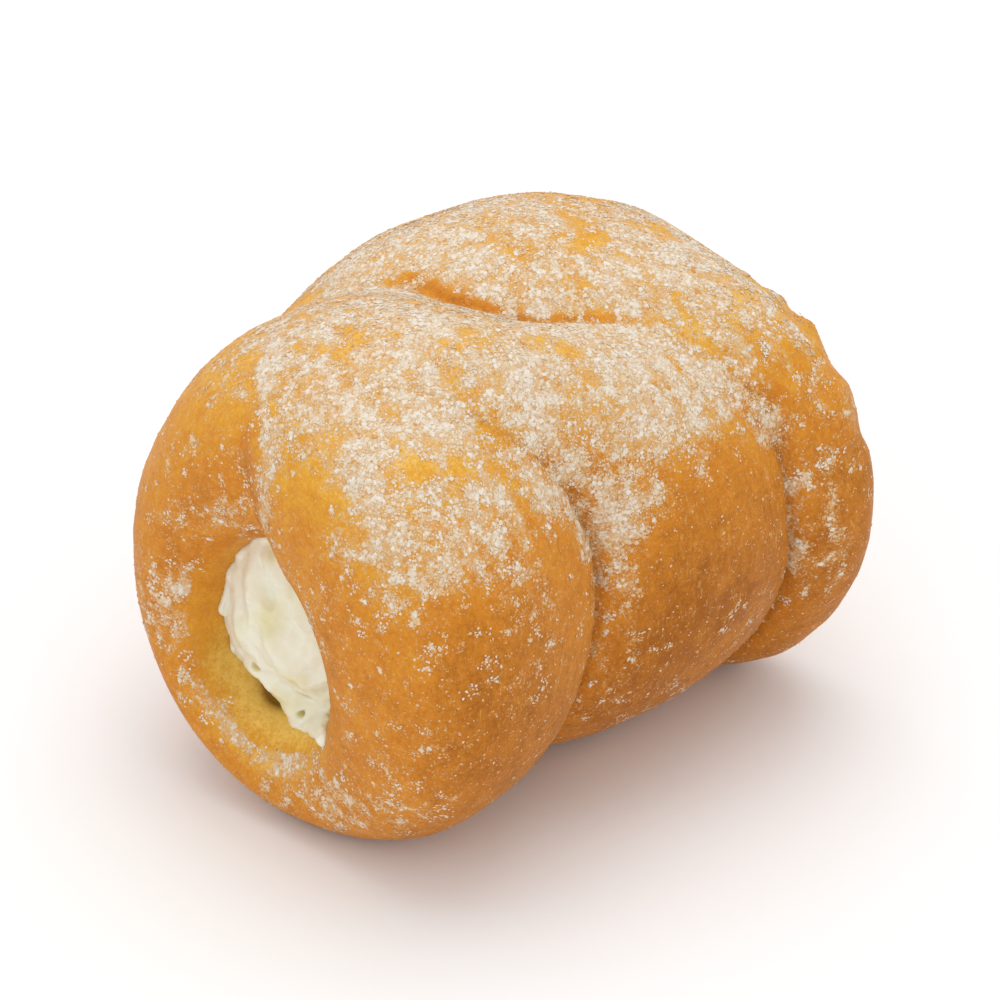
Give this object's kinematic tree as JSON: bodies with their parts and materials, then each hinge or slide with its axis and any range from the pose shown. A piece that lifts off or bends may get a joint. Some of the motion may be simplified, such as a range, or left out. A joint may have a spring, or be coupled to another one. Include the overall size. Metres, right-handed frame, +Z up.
{
  "type": "filled sweet bun roll",
  "caption": "Soft sweet dough strip wound round a bore and filled with ricotta cream, coated in sugar.",
  "frame": {"origin": "centre of the bounding box in plan, on the surface the roll rests on", "axes": "+X along the roll from its open front to its back, +Z up, and +Y to the roll's left as seen from the back"},
  "size_m": [0.091, 0.0864, 0.0783],
  "materials": {
    "dough": "satin",
    "ricotta": "satin"
  },
  "bodies": {
    "root": {"dough": "dough", "ricotta": "ricotta"}
  },
  "joints": []
}
